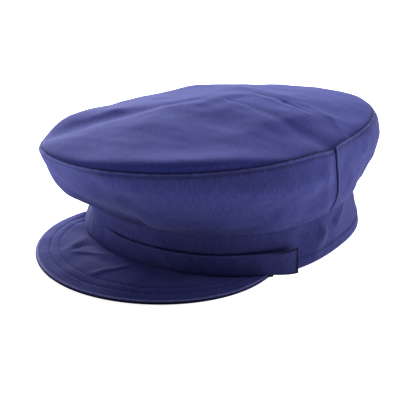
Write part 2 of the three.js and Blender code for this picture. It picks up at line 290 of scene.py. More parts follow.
def ease(value, low, high):
    """Smooth rise from 0 at the low value to 1 at the high one."""
    share = np.clip((value - low) / (high - low), 0, 1)
    return share * share * (3 - 2 * share)


def turn_between(angle, other):
    """Turn from the other angle to this one, from -180 to 180."""
    return (angle - other + 180) % 360 - 180


def around_table(rows, column, angle):
    """Value of one column of a table of angles, eased from row to row right round the cap."""
    angles = np.array([row["angle"] for row in rows], float)
    values = np.array([row[column] for row in rows], float)
    turned = turn_between(angle, 0)
    here = np.searchsorted(angles, turned, side="right") - 1
    following = (here + 1) % len(rows)
    step = (angles[following] - angles[here]) % 360
    share = ease((turned - angles[here]) / step, 0, 1)
    return values[here] + (values[following] - values[here]) * share


def outward(angle):
    """Level direction away from the middle of the cap."""
    turn = np.radians(angle)
    return np.stack([np.sin(turn), -np.cos(turn), np.zeros_like(turn)], axis=-1)


def curve_point(name, angle, share=1.0):
    """Point of a plan curve, drawn in towards its middle by the share given."""
    curve = CURVES[name]
    turn = np.radians(angle)
    radius = curve["mean"] + curve["oval"] * np.cos(2 * turn)
    radius = radius + curve["egg"] * np.cos(3 * turn) + curve["square"] * np.cos(4 * turn)
    lift = np.zeros_like(radius)
    for dent in CURVE_DENTS:
        if dent["curve"] == name:
            near = bell(turn_between(angle, dent["angle"]), dent["span"])
            radius = radius + dent["depth"] * near
            lift = lift + dent["lift"] * near
    point = outward(angle) * (radius * share)[..., None]
    tip = point[..., 0] * math.tan(math.radians(curve["roll"]))
    tip = tip + point[..., 1] * math.tan(math.radians(curve["pitch"]))
    point[..., 2] = curve["height"] + lift * share + tip
    return point + np.array([curve["right"], curve["back"], 0.0])


def folds_at(folds, across, along, scale=1.0):
    """Sum of the folds at places of a panel laid flat."""
    place = np.stack([across * scale, along], axis=-1)
    raised = np.zeros(place.shape[:-1])
    for fold in folds:
        start = np.array(fold["start"], float) * [scale, 1]
        line = np.array(fold["end"], float) * [scale, 1] - start
        share = np.clip((place - start) @ line / (line @ line), 0, 1)
        gap = np.linalg.norm(place - start - share[..., None] * line, axis=-1)
        raised += fold["raised"] * bell(gap, fold["width"])
    return raised


def soft_noise(across, along, length, seed, waves=18):
    """Smooth seeded waviness of about one unit, with bumps about as long as the length given."""
    random = np.random.default_rng(seed)
    total = np.zeros(np.broadcast(across, along).shape)
    for _ in range(waves):
        turn, phase = random.uniform(0, 2 * math.pi, 2)
        wave = 2 * math.pi / (length * random.uniform(*NOISE_LENGTHS))
        total += np.sin(wave * (across * math.cos(turn) + along * math.sin(turn)) + phase)
    return total / math.sqrt(waves / 2)


def band_face(angle, level):
    """Outer face of the band, from its lower edge (0) to the crown's seam (1)."""
    point = curve_point("foot", angle)
    point = point + (curve_point("seam", angle) - point) * level[..., None]
    rise = level * CURVES["seam"]["height"]
    folds = folds_at(BAND_FOLDS, turn_between(angle, 0), rise, math.radians(CURVES["foot"]["mean"]))
    return point + outward(angle) * (folds * np.sin(math.pi * np.clip(level, 0, 1)))[..., None]


def wall_face(angle, level):
    """Outer face of the crown's side wall, from the band's seam (0) to the rim (1)."""
    seam = curve_point("seam", angle)
    rim = curve_point("rim", angle)
    rise = level * (CURVES["rim"]["height"] - CURVES["seam"]["height"])
    folds = folds_at(WALL_FOLDS, turn_between(angle, 0), rise, math.radians(CURVES["rim"]["mean"]))
    swell = around_table(WALL_FULLNESS, "bulge", angle) * (4 * level * (1 - level)) ** WALL_ROUNDNESS
    swell = swell + around_table(WALL_FULLNESS, "drape", angle) * np.sin(2 * math.pi * level)
    swell = swell + folds * np.sin(math.pi * level)
    point = seam + (rim - seam) * level[..., None] + outward(angle) * swell[..., None]
    point[..., 2] -= around_table(WALL_FULLNESS, "sag", angle) * np.sin(math.pi * level) * (1 - level) ** 2
    return point


def top_face(angle, level):
    """Upper face of the crown's top, from the rim (0) to its middle (1)."""
    share = np.cos(level * math.pi / 2)
    point = curve_point("rim", angle, share)
    inside = 1 - share**2
    edge = around_table(PILLOW_EDGE, "height", angle)
    point[..., 2] += edge * np.sqrt(np.clip(1 - share**PILLOW_SHARPNESS, 0, 1)) * share**2
    point[..., 2] += DOME_HEIGHT * inside ** around_table(PILLOW_EDGE, "dome", angle)
    point[..., 2] += folds_at(TOP_FOLDS, point[..., 0], point[..., 1]) * inside
    return point


def band_outward(angle, level):
    """Level outward direction of the band's face."""
    step = 0.4
    along = band_face(angle + step, level) - band_face(angle - step, level)
    return unit(np.stack([along[..., 1], -along[..., 0], np.zeros_like(angle)], axis=-1))


def peak_face(angle, inset):
    """Upper face of the peak, from its edge (0) to its root at the band (1)."""
    taper = 1 - ((angle - PEAK_MIDDLE) / PEAK_END_ANGLE) ** 2
    reach = np.maximum(PEAK_REACH * np.clip(taper, 0, 1) ** PEAK_ROUNDNESS, PEAK_TIP)
    root = np.zeros_like(angle)
    point = band_face(angle, root)
    point = point + band_outward(angle, root) * (SEAM_GAP + reach * (1 - inset))[..., None]
    middle = 4 * inset * (1 - inset)
    folds = folds_at(PEAK_FOLDS, point[..., 0], point[..., 1])
    point[..., 2] = PEAK_CLOTH + (PEAK_ARCH * taper + folds) * middle
    return point


# Meshes


def grid_normals(points, wraps=False):
    """Outward directions of a grid of points, which may run right round the cap."""
    if wraps:
        across = np.roll(points, -1, axis=0) - np.roll(points, 1, axis=0)
    else:
        across = np.gradient(points, axis=0)
    return unit(np.cross(across, np.gradient(points, axis=1)))


def lengths_along(points, axis):
    """Length along the grid from its first row or column."""
    steps = np.linalg.norm(np.diff(points, axis=axis), axis=-1)
    start = np.zeros_like(np.take(steps, [0], axis=axis))
    return np.concatenate([start, np.cumsum(steps, axis=axis)], axis=axis)


def eased_levels(count, ends=CLOSER_ENDS):
    """Levels from 0 to 1 that lie closer together at both ends."""
    even = np.linspace(0, 1, count)
    return even - ends * np.sin(2 * math.pi * even) / (2 * math.pi)


def grid_of(columns, rows):
    """The column value and the row value at each point of a grid."""
    return np.meshgrid(np.asarray(columns, float), np.asarray(rows, float), indexing="ij")


def shell_faces(columns, rows, wraps, crest):
    """Corner indices of a closed shell: outer sheet, inner sheet and the strips that join them."""
    index = np.arange(columns * rows).reshape(columns, rows)
    here, following = (index, np.roll(index, -1, axis=0)) if wraps else (index[:-1], index[1:])
    inner = columns * rows
    quads = [
        np.stack([here[:, :-1], following[:, :-1], following[:, 1:], here[:, 1:]], axis=-1),
        np.stack([here[:, :-1], here[:, 1:], following[:, 1:], following[:, :-1]], axis=-1) + inner,
        np.stack([here[:, 0] + inner, following[:, 0] + inner, following[:, 0], here[:, 0]], axis=-1),
    ]
    triangles = []
    if crest:
        tip = np.full_like(here[:, -1], 2 * inner)
        triangles.append(np.stack([here[:, -1], following[:, -1], tip], axis=-1))
        triangles.append(np.stack([following[:, -1] + inner, here[:, -1] + inner, tip + 1], axis=-1))
    else:
        upper = [here[:, -1], following[:, -1], following[:, -1] + inner, here[:, -1] + inner]
        quads.append(np.stack(upper, axis=-1))
    if not wraps:
        first, last = index[0], index[-1]
        quads.append(np.stack([first[:-1], first[1:], first[1:] + inner, first[:-1] + inner], axis=-1))
        quads.append(np.stack([last[:-1] + inner, last[1:] + inner, last[1:], last[:-1]], axis=-1))
    faces = [face for block in quads for face in block.reshape(-1, 4).tolist()]
    return faces + [face for block in triangles for face in block.tolist()]


def to_metres(points):
    """Points in the frame's own place and unit, in one list."""
    return (points + HEAD_CENTRE).reshape(-1, 3) * MM


def new_object(name, vertices, faces, material):
    """A smooth mesh object in the scene."""
    mesh = bpy.data.meshes.new(name)
    mesh.from_pydata(vertices.tolist(), [], faces)
    mesh.polygons.foreach_set("use_smooth", np.ones(len(mesh.polygons), bool))
    mesh.materials.append(material)
    piece = bpy.data.objects.new(name, mesh)
    bpy.context.scene.collection.objects.link(piece)
    return piece


def shell_object(name, outer, inner, flat, wear_and_shade, material, wraps=False, crest=None, inner_wear_and_shade=None):
    """A closed cloth shell. flat holds each point's place on the panel laid flat.

    wear is how worn the cloth is there. Below zero it is painted shade: how far the cloth is darkened
    where shade falls in seams, creases and under edges.
    """
    columns, rows = outer.shape[:2]
    points = [outer.reshape(-1, 3), inner.reshape(-1, 3)]
    places = [flat.reshape(-1, 2)] * 2
    rubbed_and_shaded = [wear_and_shade.ravel(), np.zeros(wear_and_shade.size) if inner_wear_and_shade is None else inner_wear_and_shade.ravel()]
    if crest is not None:
        points.append(np.array(crest))
        places.append(np.array(crest)[:, :2])
        rubbed_and_shaded.append(np.zeros(2))
    vertices = to_metres(np.concatenate(points))
    piece = new_object(name, vertices, shell_faces(columns, rows, wraps, crest is not None), material)
    mesh = piece.data
    corner = np.empty(len(mesh.loops), int)
    mesh.loops.foreach_get("vertex_index", corner)
    place = np.concatenate(places)[corner] * MM
    mesh.uv_layers.new(name="flat").data.foreach_set("uv", place.ravel())
    mesh.attributes.new("wear_and_shade", "FLOAT", "POINT").data.foreach_set("value", np.concatenate(rubbed_and_shaded))
    return piece


def dress(piece, slot_name, *nodes):
    """Puts a finished piece in the frame."""
    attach(piece, "root")
    if nodes:
        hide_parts(*nodes)
    return piece


# Sewn panels


def seam_profile(distance, seam, pulled=1.0):
    """How a panel tucks in at its sewn edge and stands up in a lip beside it, gathered as pulled says."""
    tuck = seam["tuck"] * bell(distance, seam["tuck_width"])
    return seam["lip"] * pulled * bell(distance - seam["lip_place"], seam["lip_width"]) - tuck


def needle_pull(along, seed):
    """Uneven gathering of a seam's lip, from stitch to stitch."""
    gathered = soft_noise(along, np.zeros_like(along), NEEDLE_PULL["length"], seed)
    pull = NEEDLE_PULL["middle"] + NEEDLE_PULL["spread"] * gathered
    return np.clip(pull, NEEDLE_PULL["least"], NEEDLE_PULL["most"])


def foot_fill(angle, distance):
    """Cloth that softens the corner between crown and band."""
    return around_table(CROWN_FOOT, "fill", angle) * bell(distance, FILL_SPAN)


def seam_pucker(along, distance, seed):
    """Small ripples that stand across a seam and fade away from it."""
    ripple = soft_noise(along, np.zeros_like(along), PUCKER["length"], seed)
    return PUCKER["height"] * ripple * np.exp(-distance / PUCKER["reach"])


def cloth_noise(across, up, edge, seed, strength=1.0):
    """Soft drape and crumple of free cloth, held still at the seams."""
    drape = DRAPE_NOISE["height"] * soft_noise(across, up, DRAPE_NOISE["length"], seed)
    crumple = CRUMPLE_NOISE["height"] * soft_noise(across, up, CRUMPLE_NOISE["length"], seed + 1)
    return strength * (drape + crumple) * (1 - np.exp(-edge / SEAM_HOLD))


def side_panel(name, start, end, seed, side_wear, material):
    """One half of the crown's side wall, between two angles."""
    columns = start + (end - start) * eased_levels(WALL_COLUMNS, CLOSER_COLUMN_ENDS)
    angle, level = grid_of(columns, eased_levels(WALL_ROWS))
    base = wall_face(angle, level)
    normals = grid_normals(base)
    up = lengths_along(base, 1)
    across = lengths_along(base, 0)[:, WALL_ROWS // 2, None] + np.zeros_like(up)
    rim = up[:, -1:] - up
    side = np.minimum(across, across[-1:] - across)
    edge = np.minimum(np.minimum(rim, up), side)
    raised = seam_profile(rim, RIM_SEAM, needle_pull(across, seed + 5))
    raised += seam_profile(side, SIDE_SEAMS)
    raised += seam_profile(up, FOOT_SEAM) * around_table(CROWN_FOOT, "lip", angle)
    raised += seam_pucker(across, rim, seed) + seam_pucker(across, up, seed + 1)
    raised += seam_pucker(up, side, seed + 2) + cloth_noise(across, up, edge, seed + 3)
    outer = base + normals * raised[..., None]
    outer += outward(angle) * foot_fill(angle, up)[..., None]
    inner = base - normals * CROWN_CLOTH
    lip_shows = ease(around_table(CROWN_FOOT, "lip", angle), *FOOT_WEAR_LIP)
    wear_and_shade = line_beside(RIM_WEAR, rim) * needle_pull(across, seed + 5)
    wear_and_shade += line_beside(FOOT_WEAR, up) * lip_shows * needle_pull(across, seed + 7)
    # Painted shade: under the rim seam's lip, low on the front wall above the band, and along the side
    # seams.
    wear_and_shade -= line_beside(UNDER_RIM_SHADE, rim)
    wear_and_shade -= line_beside(FRONT_FOOT_SHADE, up) * around_table(CROWN_FOOT, "fill", angle)
    wear_and_shade += line_beside(side_wear, side) - line_beside(SIDE_SEAM_SHADE, side)
    flat = np.stack([across, up], axis=-1)
    return shell_object(name, outer, inner, flat, wear_and_shade, material)


def top_panel(material):
    """The oval top of the crown."""
    columns = np.linspace(-180, 180, TOP_COLUMNS, endpoint=False)
    angle, level = grid_of(columns, np.linspace(0, 1, TOP_RINGS, endpoint=False))
    base = top_face(angle, level)
    normals = grid_normals(base, wraps=True)
    rim = lengths_along(base, 1)
    around = lengths_along(base, 0)[:, :1] + np.zeros_like(rim)
    raised = seam_pucker(around, rim, SEEDS["top"]) - RIM_SEAM["tuck"] * bell(rim, RIM_SEAM["tuck_width"])
    raised += cloth_noise(base[..., 0], base[..., 1], rim, SEEDS["top"] + 1, TOP_SOFTNESS)
    outer = base + normals * raised[..., None]
    inner = base - normals * CROWN_CLOTH
    # The seam allowance turns down behind the wall, so that no light comes through the rim seam.
    inner[..., 2] -= line_beside(SEAM_ALLOWANCE, rim)
    crest = top_face(np.zeros(1), np.ones(1))[0]
    crest = crest + [0, 0, outer[:, -1, 2].mean() - base[:, -1, 2].mean()]
    crests = [crest, crest - [0, 0, CROWN_CLOTH]]
    # The crease lines are made paler; painted shade darkens the rolled edge next to the rim seam.
    wear_and_shade = folds_at(TOP_CREASES, base[..., 0], base[..., 1]) - line_beside(RIM_SHADE, rim)
    flat = base[..., :2]
    return shell_object("crown_top_cloth", outer, inner, flat, wear_and_shade, material, wraps=True, crest=crests)


def rounded(distance, thickness):
    """Half thickness of a slab that is rounded off at its edges."""
    half = thickness / 2
    inside = np.clip(1 - distance / half, 0, 1)
    return half * np.sqrt(np.clip(1 - inside**2, THINNEST_EDGE, 1))


def band_ring(material):
    """The head band, which runs on a little way up behind the crown's lower edge."""
    columns = np.linspace(-180, 180, BAND_COLUMNS, endpoint=False)
    angle, level = grid_of(columns, eased_levels(BAND_ROWS) * BAND_TUCKED_UP)
    base = band_face(angle, level)
    normals = grid_normals(base, wraps=True)
    up = lengths_along(base, 1)
    across = lengths_along(base, 0)[:, :1] + np.zeros_like(up)
    hem = HEM_STEP * (1 - ease(up, HEM_HEIGHT - HEM_SLOPE, HEM_HEIGHT + HEM_SLOPE))
    raised = hem - line_beside(HEM_GROOVE, up) - HEM_STEP
    raised += seam_pucker(across, np.abs(up - HEM_HEIGHT), SEEDS["band"])
    raised += cloth_noise(across, up, np.minimum(up, BAND_FREE_HEIGHT), SEEDS["band"] + 1, BAND_SOFTNESS)
    raised = raised * ease(up, 0, BAND_STILL_EDGE)
    half = rounded(up, BAND_CLOTH)
    middle = base - normals * (BAND_CLOTH / 2)
    outer = middle + normals * (half + raised)[..., None]
    under_crown = CURVES["seam"]["height"] - base[..., 2]
    outer += outward(angle) * foot_fill(angle, under_crown)[..., None]
    inner = middle - normals * half[..., None]
    wear_and_shade = line_beside(BAND_EDGE_WEAR, up)
    # Painted shade along the band's top, under the crown's lip.
    wear_and_shade -= line_beside(BAND_TOP_SHADE, under_crown) * around_table(CROWN_FOOT, "lip", angle)
    flat = np.stack([across, up], axis=-1)
    piece = shell_object("band_cloth", outer, inner, flat, wear_and_shade, material, wraps=True)
    return piece, outer, normals


def front_strap(material):
    """The strap across the band. Its upper edge melts into the band on the left half."""
    columns = STRAP_END_ANGLE * (2 * eased_levels(STRAP_COLUMNS, CLOSER_COLUMN_ENDS) - 1)
    angle, level = grid_of(columns, eased_levels(STRAP_ROWS))
    drop = ease(np.abs(angle), *STRAP_DROP)
    foot = STRAP_FOOT + (STRAP_END_FOOT - STRAP_FOOT) * drop
    band_level = (foot + (STRAP_TOP - foot) * level) / CURVES["seam"]["height"]
    held = np.cos(np.radians(angle) * 90 / STRAP_END_ANGLE) ** 2
    free = ease(angle, *STRAP_MERGE)
    gaping = ease(angle, *STRAP_GAPE) * held
    clear = SEAM_GAP + STRAP_STAND_OFF * gaping * level**2
    clear = clear + STRAP_END_STAND_OFF * ease(np.abs(angle), *STRAP_LEAVES_BAND)
    normals = band_outward(angle, band_level)
    middle = band_face(angle, band_level) + normals * (clear + STRAP_CLOTH / 2)[..., None]
    up = lengths_along(middle, 1)
    across = lengths_along(middle, 0)[:, STRAP_ROWS // 2, None] + np.zeros_like(up)
    end = np.minimum(across, across[-1:] - across)
    edge = np.minimum(np.minimum(up, up[:, -1:] - up), end)
    half = rounded(edge, STRAP_CLOTH)
    thinned = 1 - (1 - free) * (1 - ease(up[:, -1:] - up, 0, STRAP_MERGE_WIDTH))
    raised = STRAP_NOISE["height"] * soft_noise(across, up, STRAP_NOISE["length"], SEEDS["strap"])
    raised = raised * (1 - np.exp(-edge / STRAP_NOISE["hold"]))
    sunk = (1 - thinned) * (clear + STRAP_CLOTH / 2 + STRAP_SINK)
    half = half * (1 - STRAP_THINNING * (1 - thinned))
    outer = middle + normals * (half + raised - sunk)[..., None]
    inner = middle - normals * (half + sunk)[..., None]
    flat = np.stack([across, up], axis=-1)
    # The strap's edges are worn pale on the left and darkened by painted shade near the right end, and
    # painted shade runs along its right end.
    near_end = ease(angle, *STRAP_EDGE_DARKENS)
    edge_wear_and_shade = STRAP_EDGE_WEAR + (STRAP_EDGE_SHADE - STRAP_EDGE_WEAR) * near_end
    wear_and_shade = edge_wear_and_shade * line_beside(STRAP_EDGE_LINE, edge) * (1 - bell(end, STRAP_END_CLEAR))
    wear_and_shade -= line_beside(STRAP_END_SHADE, end) * ease(angle, *STRAP_RIGHT_SIDE)
    piece = shell_object("strap_cloth", outer, inner, flat, wear_and_shade, material)
    return piece, outer, normals, across


def peak_plate(material):
    """The stiff peak, with its rows of stitching pressed in."""
    columns = np.linspace(PEAK_MIDDLE - PEAK_END_ANGLE, PEAK_MIDDLE + PEAK_END_ANGLE, PEAK_COLUMNS)
    angle, inset = grid_of(columns, eased_levels(PEAK_ROWS))
    base = peak_face(angle, inset)
    from_edge = lengths_along(base, 1)
    around = lengths_along(base, 0)[:, :1] + np.zeros_like(from_edge)
    normals = grid_normals(base)
    middle = base - [0, 0, PEAK_CLOTH / 2]
    half = rounded(from_edge, PEAK_CLOTH)
    raised = np.zeros_like(half)
    for row in PEAK_ROWS_FROM_EDGE:
        raised -= line_beside(PEAK_ROW_GROOVE, from_edge - row)
        raised += seam_pucker(around, np.abs(from_edge - row), SEEDS["peak"] + row)
    waves = soft_noise(base[..., 0], base[..., 1], PEAK_NOISE["length"], SEEDS["peak"] + 1)
    raised += PEAK_NOISE["height"] * waves * ease(from_edge, 0, PEAK_NOISE["hold"])
    outer = middle + normals * (half + raised)[..., None]
    inner = middle - normals * half[..., None]
    inner[..., 2] = np.maximum(inner[..., 2], 0)
    # The peak's edge is worn pale, with painted shade right at the edge and on the underside along it.
    wear_and_shade = line_beside(PEAK_EDGE_WEAR, from_edge) - line_beside(PEAK_EDGE_SHADE, from_edge)
    under_edge_shade = -line_beside(PEAK_UNDER_SHADE, from_edge)
    piece = shell_object("peak_cloth", outer, inner, base[..., :2], wear_and_shade, material, inner_wear_and_shade=under_edge_shade)
    return piece, outer, normals, from_edge


# Stitches


def capsule(start, end, radius, lift, sides=6, rings=5):
    """Small rounded stitch from one point to another, as vertices and faces."""
    axis = end - start
    length = np.linalg.norm(axis)
    axis = axis / length
    side = unit(np.cross(axis, lift))
    up = np.cross(side, axis)
    vertices = [start]
    for ring in range(1, rings):
        share = ring / rings
        bow = math.sin(math.pi * share)
        swell = radius * math.sqrt(bow)
        middle = start + axis * length * share + up * radius * bow * STITCH["arch"]
        for step in range(sides):
            turn = 2 * math.pi * step / sides
            vertices.append(middle + swell * (side * math.cos(turn) + up * math.sin(turn)))
    vertices.append(end)
    faces = []
    last = len(vertices) - 1
    for step in range(sides):
        following = (step + 1) % sides
        faces.append((0, 1 + following, 1 + step))
        for ring in range(rings - 2):
            low = 1 + ring * sides
            faces.append((low + step, low + following, low + sides + following, low + sides + step))
        low = 1 + (rings - 2) * sides
        faces.append((low + step, low + following, last))
    return np.array(vertices), faces


def stitch_rows(name, rows, material):
    """Running stitches along each row of points and normals, as one mesh."""
    vertices = []
    faces = []
    for points, normals in rows:
        places = np.concatenate([[0], np.cumsum(np.linalg.norm(np.diff(points, axis=0), axis=1))])
        for start in np.arange(STITCH["first"], places[-1] - STITCH["length"], STITCH["pitch"]):
            ends = []
            for place in (start, start + STITCH["length"]):
                ends.append(np.array([np.interp(place, places, points[:, k]) for k in range(3)]))
            lift = np.array([np.interp(start, places, normals[:, k]) for k in range(3)])
            shape, corners = capsule(ends[0], ends[1], STITCH["radius"], lift)
            faces += [tuple(corner + len(vertices) for corner in face) for face in corners]
            vertices += list(shape)
    return new_object(name, to_metres(np.array(vertices)), faces, material)


def row_at(points, normals, measure, value):
    """Line of points across a grid where a measure along its rows reaches the value given."""
    found = []
    facing = []
    for column in range(points.shape[0]):
        if measure[column, -1] < value:
            continue
        found.append([np.interp(value, measure[column], points[column, :, k]) for k in range(3)])
        facing.append([np.interp(value, measure[column], normals[column, :, k]) for k in range(3)])
    return np.array(found), np.array(facing)


# Materials

# Weave: long warp streaks up the cloth, shorter weft streaks across it, and broad mottling.
SHEEN_TINT = (0.6, 0.63, 0.95, 1)
WARP_SHARE = 0.65
WEFT_STREAK = 0.5
THREAD_SHARE = 0.75
MOTTLE_GRAIN = (26, 34)
MOTTLE_DETAIL = 3
TONE_RANGE = (0.34, 0.66)
WEAR_ON_WARP = 0.5
# Painted shade mixes the cloth towards this share of its dark colour.
PAINTED_SHADE_TONE = 0.2
WEAVE_STRENGTH = 0.5
WEAVE_DEPTH = 0.25
TWIST_GRAIN = (0.4, 0.4)
TWIST_TONE = 0.7


def link(tree, source, output, target, inlet):
    tree.links.new(source.outputs[output], target.inputs[inlet])


def math_node(tree, operation, first, second):
    """Result of an operation on two numbers or node outputs."""
    node = tree.nodes.new("ShaderNodeMath")
    node.operation = operation
    for inlet, value in enumerate((first, second)):
        if isinstance(value, (int, float)):
            node.inputs[inlet].default_value = value
        else:
            tree.links.new(value, node.inputs[inlet])
    return node.outputs[0]


def blend(tree, first, second, share):
    """Mean of two values, weighted by the share of the first."""
    weighted = math_node(tree, "MULTIPLY", first, share)
    return math_node(tree, "ADD", weighted, math_node(tree, "MULTIPLY", second, 1 - share))


def noise_node(tree, vector, stretch, detail=2.0):
    """Noise over the flat cloth. stretch is the size of its grain across and along, in millimetres."""
    mapping = tree.nodes.new("ShaderNodeMapping")
    mapping.inputs["Scale"].default_value = (1 / (stretch[0] * MM), 1 / (stretch[1] * MM), 1)
    tree.links.new(vector, mapping.inputs["Vector"])
    noise = tree.nodes.new("ShaderNodeTexNoise")
    noise.inputs["Scale"].default_value = 1
    noise.inputs["Detail"].default_value = detail
    link(tree, mapping, "Vector", noise, "Vector")
    return noise.outputs["Fac"]


def mix_colour(tree, share, first, second):
    """Mix of two colours or node outputs, all of the second where the share is 1."""
    node = tree.nodes.new("ShaderNodeMix")
    node.data_type = "RGBA"
    tree.links.new(share, node.inputs["Factor"])
    for inlet, value in (("A", first), ("B", second)):
        socket = [s for s in node.inputs if s.name == inlet and s.type == "RGBA"][0]
        if isinstance(value, tuple):
            socket.default_value = (*value, 1)
        else:
            tree.links.new(value, socket)
    return [s for s in node.outputs if s.type == "RGBA"][0]


def cloth_material(name, dark, light, grain, pale, speck=None):
    """Washed cotton drill: streaky warp threads, soft mottling, worn pale edges, painted shade in seams
    and under edges, and a fine sheen.
    """
    material = bpy.data.materials.new(name)
    material.use_nodes = True
    tree = material.node_tree
    shader = tree.nodes["Principled BSDF"]
    place = tree.nodes.new("ShaderNodeUVMap")
    place.uv_map = "flat"
    flat = place.outputs["UV"]
    warp = noise_node(tree, flat, grain)
    weft = noise_node(tree, flat, (grain[1] * WEFT_STREAK, grain[0]))
    mottle = noise_node(tree, flat, MOTTLE_GRAIN, MOTTLE_DETAIL)
    threads = blend(tree, warp, weft, WARP_SHARE)
    tone = blend(tree, threads, mottle, THREAD_SHARE)
    spread = tree.nodes.new("ShaderNodeMapRange")
    spread.inputs["From Min"].default_value = TONE_RANGE[0]
    spread.inputs["From Max"].default_value = TONE_RANGE[1]
    tree.links.new(tone, spread.inputs["Value"])
    colour = mix_colour(tree, spread.outputs["Result"], dark, light)
    rubbed_and_shaded = tree.nodes.new("ShaderNodeAttribute")
    rubbed_and_shaded.attribute_name = "wear_and_shade"
    # Above zero the attribute is worn cloth, mixed towards the pale colour.
    wear_and_shade = math_node(tree, "MAXIMUM", rubbed_and_shaded.outputs["Fac"], 0.0)
    wear_and_shade = math_node(tree, "MULTIPLY", wear_and_shade, math_node(tree, "MULTIPLY", warp, WEAR_ON_WARP))
    colour = mix_colour(tree, wear_and_shade, colour, pale)
    # Below zero the attribute is painted shade, mixed towards a darker copy of the cloth's own dark
    # colour.
    painted_shade = math_node(tree, "MAXIMUM", math_node(tree, "MULTIPLY", rubbed_and_shaded.outputs["Fac"], -1.0), 0.0)
    painted_shade_colour = tuple(value * PAINTED_SHADE_TONE for value in dark)
    colour = mix_colour(tree, painted_shade, colour, painted_shade_colour)
    if speck:
        distance = tree.nodes.new("ShaderNodeVectorMath")
        distance.operation = "DISTANCE"
        distance.inputs[1].default_value = (speck["place"][0] * MM, speck["place"][1] * MM, 0)
        tree.links.new(flat, distance.inputs[0])
        spot = math_node(tree, "LESS_THAN", distance.outputs["Value"], speck["radius"] * MM)
        colour = mix_colour(tree, spot, colour, speck["colour"])
    tree.links.new(colour, shader.inputs["Base Color"])
    bump = tree.nodes.new("ShaderNodeBump")
    bump.inputs["Strength"].default_value = WEAVE_STRENGTH
    bump.inputs["Distance"].default_value = WEAVE_DEPTH * MM
    tree.links.new(threads, bump.inputs["Height"])
    link(tree, bump, "Normal", shader, "Normal")
    shader.inputs["Roughness"].default_value = 0.88
    shader.inputs["Specular IOR Level"].default_value = 0.12
    shader.inputs["Sheen Weight"].default_value = 0.14
    shader.inputs["Sheen Roughness"].default_value = 0.45
    shader.inputs["Sheen Tint"].default_value = SHEEN_TINT
    return material


def thread_material(name, colour):
    """Twisted sewing thread, a little darker in the twist."""
    material = bpy.data.materials.new(name)
    material.use_nodes = True
    tree = material.node_tree
    shader = tree.nodes["Principled BSDF"]
    place = tree.nodes.new("ShaderNodeTexCoord")
    twist = noise_node(tree, place.outputs["Object"], TWIST_GRAIN)
    dark = tuple(value * TWIST_TONE for value in colour)
    tree.links.new(mix_colour(tree, twist, dark, colour), shader.inputs["Base Color"])
    shader.inputs["Roughness"].default_value = 0.8
    shader.inputs["Specular IOR Level"].default_value = 0.1
    shader.inputs["Sheen Weight"].default_value = 0.1
    shader.inputs["Sheen Tint"].default_value = SHEEN_TINT
    return material


# The cap itself

# The panels are one cotton drill, with colours set apart for how light falls on them: the band's and
# strap's are darker as painted shade, and the top's bluer against the pale sheen of the lights.
SIDE_DARK = (0.043, 0.048, 0.205)
SIDE_LIGHT = (0.079, 0.087, 0.360)
TOP_DARK = (0.040, 0.046, 0.262)
TOP_LIGHT = (0.073, 0.084, 0.460)
BAND_DARK = (0.042, 0.046, 0.190)
BAND_LIGHT = (0.076, 0.082, 0.325)
PEAK_DARK = (0.044, 0.049, 0.225)
PEAK_LIGHT = (0.080, 0.088, 0.390)
THREAD = (0.034, 0.039, 0.190)
RUBBED = (0.165, 0.175, 0.500)
PEAK_RUBBED = (0.340, 0.350, 0.720)
SIDE_GRAIN = (1.0, 6)
TOP_GRAIN = (1.1, 2.4)
BAND_GRAIN = (0.8, 6)
PEAK_GRAIN = (1.0, 2.2)
TOP_SPECK = dict(place=(37.7, -24.3), radius=0.55, colour=(0.01, 0.01, 0.03))

side_drill = cloth_material("side_drill", SIDE_DARK, SIDE_LIGHT, SIDE_GRAIN, RUBBED)
top_drill = cloth_material("top_drill", TOP_DARK, TOP_LIGHT, TOP_GRAIN, RUBBED, TOP_SPECK)
band_drill = cloth_material("band_drill", BAND_DARK, BAND_LIGHT, BAND_GRAIN, RUBBED)
peak_drill = cloth_material("peak_drill", PEAK_DARK, PEAK_LIGHT, PEAK_GRAIN, PEAK_RUBBED)
thread = thread_material("blue_thread", THREAD)

crown_top = dress(top_panel(top_drill), "crown_cloth", "crown_top")
front_span = (-SIDE_SEAM, SIDE_SEAM)
front_wall = side_panel("crown_front_cloth", *front_span, SEEDS["front"], FRONT_SIDE_WEAR, side_drill)
crown_front = dress(front_wall, "crown_cloth", "crown_front")
back_span = (SIDE_SEAM, 360 - SIDE_SEAM)
back_wall = side_panel("crown_back_cloth", *back_span, SEEDS["back"], BACK_SIDE_WEAR, side_drill)
crown_back = dress(back_wall, "crown_cloth", "crown_back")

band, band_points, band_normals = band_ring(band_drill)
dress(band, "band_cloth", "band")
hem_line = row_at(band_points, band_normals, lengths_along(band_points, 1), HEM_HEIGHT)
hem_stitches = dress(stitch_rows("band_hem_stitches", [hem_line], thread), "band_cloth")

strap, strap_points, strap_normals, strap_across = front_strap(band_drill)
dress(strap, "band_cloth", "strap")
strap_seams = []
seam_rows = slice(STRAP_SEAM_CLEAR_ROWS, -STRAP_SEAM_CLEAR_ROWS)
for from_end in (strap_across[:, 0], strap_across[-1, 0] - strap_across[:, 0]):
    column = int(np.argmin(np.abs(from_end - STRAP_SEAM_INSET)))
    strap_seams.append((strap_points[column, seam_rows], strap_normals[column, seam_rows]))
strap_stitches = dress(stitch_rows("strap_end_stitches", strap_seams, thread), "band_cloth")

peak, peak_points, peak_normals, peak_from_edge = peak_plate(peak_drill)
dress(peak, "peak_cloth", "peak")
peak_lines = [row_at(peak_points, peak_normals, peak_from_edge, row) for row in PEAK_ROWS_FROM_EDGE]
dress(stitch_rows("peak_stitches", peak_lines, thread), "peak_cloth")


# Floor, light and camera

